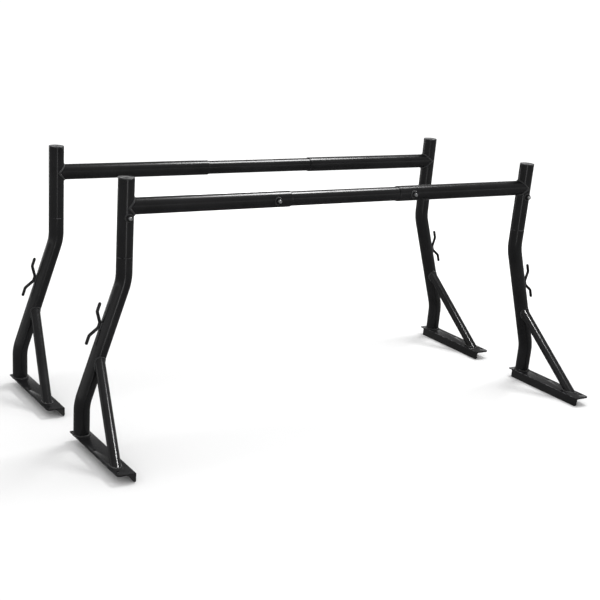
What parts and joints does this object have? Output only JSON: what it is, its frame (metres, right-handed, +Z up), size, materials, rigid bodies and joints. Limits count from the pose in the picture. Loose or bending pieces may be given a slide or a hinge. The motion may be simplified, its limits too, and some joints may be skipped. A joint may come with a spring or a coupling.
{
  "type": "ladder rack",
  "caption": "Two-bar steel ladder rack for a pickup bed, with telescoping crossbars on bent tube legs with braced angle feet and rope cleats.",
  "frame": {"origin": "centre of the pair of racks in plan, on the surface that the flanges' lower edges stand on", "axes": "+X across the truck along the crossbars, +Y from the front rack to the rear rack, +Z up"},
  "size_m": [1.785, 0.8854, 0.784],
  "materials": {
    "black_powder_coat": "semi-gloss black powder coat",
    "black_plug": "smooth black moulding",
    "bright_steel": "bright plated steel"
  },
  "bodies": {
    "front_left_leg": {"front_left_base_angle": "black_powder_coat", "front_left_leg_tube": "black_powder_coat", "front_left_leg_spigot": "black_powder_coat", "front_left_brace_tube": "black_powder_coat", "front_left_rope_cleat": "black_powder_coat"},
    "front_left_post": {"front_left_post_tube": "black_powder_coat", "front_left_side_bar": "black_powder_coat", "front_left_post_cap": "black_plug", "front_left_post_set_nut": "black_powder_coat", "front_left_bar_set_nut": "black_powder_coat"},
    "front_left_post_bolt": {"front_left_post_set_bolt": "bright_steel"},
    "front_left_bar_bolt": {"front_left_bar_set_bolt": "bright_steel"},
    "front_right_leg": {"front_right_base_angle": "black_powder_coat", "front_right_leg_tube": "black_powder_coat", "front_right_leg_spigot": "black_powder_coat", "front_right_brace_tube": "black_powder_coat", "front_right_rope_cleat": "black_powder_coat"},
    "front_right_post": {"front_right_post_tube": "black_powder_coat", "front_right_side_bar": "black_powder_coat", "front_right_post_cap": "black_plug", "front_right_post_set_nut": "black_powder_coat", "front_right_bar_set_nut": "black_powder_coat"},
    "front_right_post_bolt": {"front_right_post_set_bolt": "bright_steel"},
    "front_right_bar_bolt": {"front_right_bar_set_bolt": "bright_steel"},
    "front_centre": {"front_centre_bar": "black_powder_coat"},
    "rear_left_leg": {"rear_left_base_angle": "black_powder_coat", "rear_left_leg_tube": "black_powder_coat", "rear_left_leg_spigot": "black_powder_coat", "rear_left_brace_tube": "black_powder_coat", "rear_left_rope_cleat": "black_powder_coat"},
    "rear_left_post": {"rear_left_post_tube": "black_powder_coat", "rear_left_side_bar": "black_powder_coat", "rear_left_post_cap": "black_plug", "rear_left_post_set_nut": "black_powder_coat", "rear_left_bar_set_nut": "black_powder_coat"},
    "rear_left_post_bolt": {"rear_left_post_set_bolt": "bright_steel"},
    "rear_left_bar_bolt": {"rear_left_bar_set_bolt": "bright_steel"},
    "rear_right_leg": {"rear_right_base_angle": "black_powder_coat", "rear_right_leg_tube": "black_powder_coat", "rear_right_leg_spigot": "black_powder_coat", "rear_right_brace_tube": "black_powder_coat", "rear_right_rope_cleat": "black_powder_coat"},
    "rear_right_post": {"rear_right_post_tube": "black_powder_coat", "rear_right_side_bar": "black_powder_coat", "rear_right_post_cap": "black_plug", "rear_right_post_set_nut": "black_powder_coat", "rear_right_bar_set_nut": "black_powder_coat"},
    "rear_right_post_bolt": {"rear_right_post_set_bolt": "bright_steel"},
    "rear_right_bar_bolt": {"rear_right_bar_set_bolt": "bright_steel"},
    "rear_centre": {"rear_centre_bar": "black_powder_coat"}
  },
  "joints": [
    {"name": "front_left_height", "type": "slide", "parent": "front_left_leg", "child": "front_left_post", "axis": [0, 0, 1], "range_m": [0, 0.06]},
    {"name": "front_left_width", "type": "slide", "parent": "front_left_post", "child": "front_centre", "axis": [1, 0, 0], "range_m": [-0.2, 0.009]},
    {"name": "front_right_width", "type": "slide", "parent": "front_centre", "child": "front_right_post", "axis": [1, 0, 0], "range_m": [-0.2, 0.009]},
    {"name": "front_right_height", "type": "slide", "parent": "front_right_post", "child": "front_right_leg", "axis": [0, 0, -1], "range_m": [0, 0.06]},
    {"name": "front_left_post_bolt_turn", "type": "hinge", "parent": "front_left_post", "child": "front_left_post_bolt", "pos_m": [-0.742, -0.12673, 0.674], "axis": [0, -1, 0], "range_deg": [0, 720]},
    {"name": "front_left_bar_bolt_turn", "type": "hinge", "parent": "front_left_post", "child": "front_left_bar_bolt", "pos_m": [-0.255, -0.12673, 0.702], "axis": [0, -1, 0], "range_deg": [0, 720]},
    {"name": "front_right_post_bolt_turn", "type": "hinge", "parent": "front_right_post", "child": "front_right_post_bolt", "pos_m": [0.742, -0.12673, 0.674], "axis": [0, -1, 0], "range_deg": [0, 720]},
    {"name": "front_right_bar_bolt_turn", "type": "hinge", "parent": "front_right_post", "child": "front_right_bar_bolt", "pos_m": [0.255, -0.12673, 0.702], "axis": [0, -1, 0], "range_deg": [0, 720]},
    {"name": "rear_left_height", "type": "slide", "parent": "rear_left_leg", "child": "rear_left_post", "axis": [0, 0, 1], "range_m": [0, 0.06]},
    {"name": "rear_left_width", "type": "slide", "parent": "rear_left_post", "child": "rear_centre", "axis": [1, 0, 0], "range_m": [-0.2, 0.009]},
    {"name": "rear_right_width", "type": "slide", "parent": "rear_centre", "child": "rear_right_post", "axis": [1, 0, 0], "range_m": [-0.2, 0.009]},
    {"name": "rear_right_height", "type": "slide", "parent": "rear_right_post", "child": "rear_right_leg", "axis": [0, 0, -1], "range_m": [0, 0.06]},
    {"name": "rear_left_post_bolt_turn", "type": "hinge", "parent": "rear_left_post", "child": "rear_left_post_bolt", "pos_m": [-0.742, 0.40427, 0.674], "axis": [0, 1, 0], "range_deg": [0, 720]},
    {"name": "rear_left_bar_bolt_turn", "type": "hinge", "parent": "rear_left_post", "child": "rear_left_bar_bolt", "pos_m": [-0.255, 0.40427, 0.702], "axis": [0, 1, 0], "range_deg": [0, 720]},
    {"name": "rear_right_post_bolt_turn", "type": "hinge", "parent": "rear_right_post", "child": "rear_right_post_bolt", "pos_m": [0.742, 0.40427, 0.674], "axis": [0, 1, 0], "range_deg": [0, 720]},
    {"name": "rear_right_bar_bolt_turn", "type": "hinge", "parent": "rear_right_post", "child": "rear_right_bar_bolt", "pos_m": [0.255, 0.40427, 0.702], "axis": [0, 1, 0], "range_deg": [0, 720]},
    {"name": "rear_rack_place", "type": "slide", "parent": "front_left_leg", "child": "rear_left_leg", "axis": [0, 1, 0], "range_m": [-0.12, 0.7]}
  ],
  "couplings": [
    {"joint": "front_right_height", "follows": "front_left_height", "ratio": 1},
    {"joint": "rear_right_height", "follows": "rear_left_height", "ratio": 1}
  ]
}
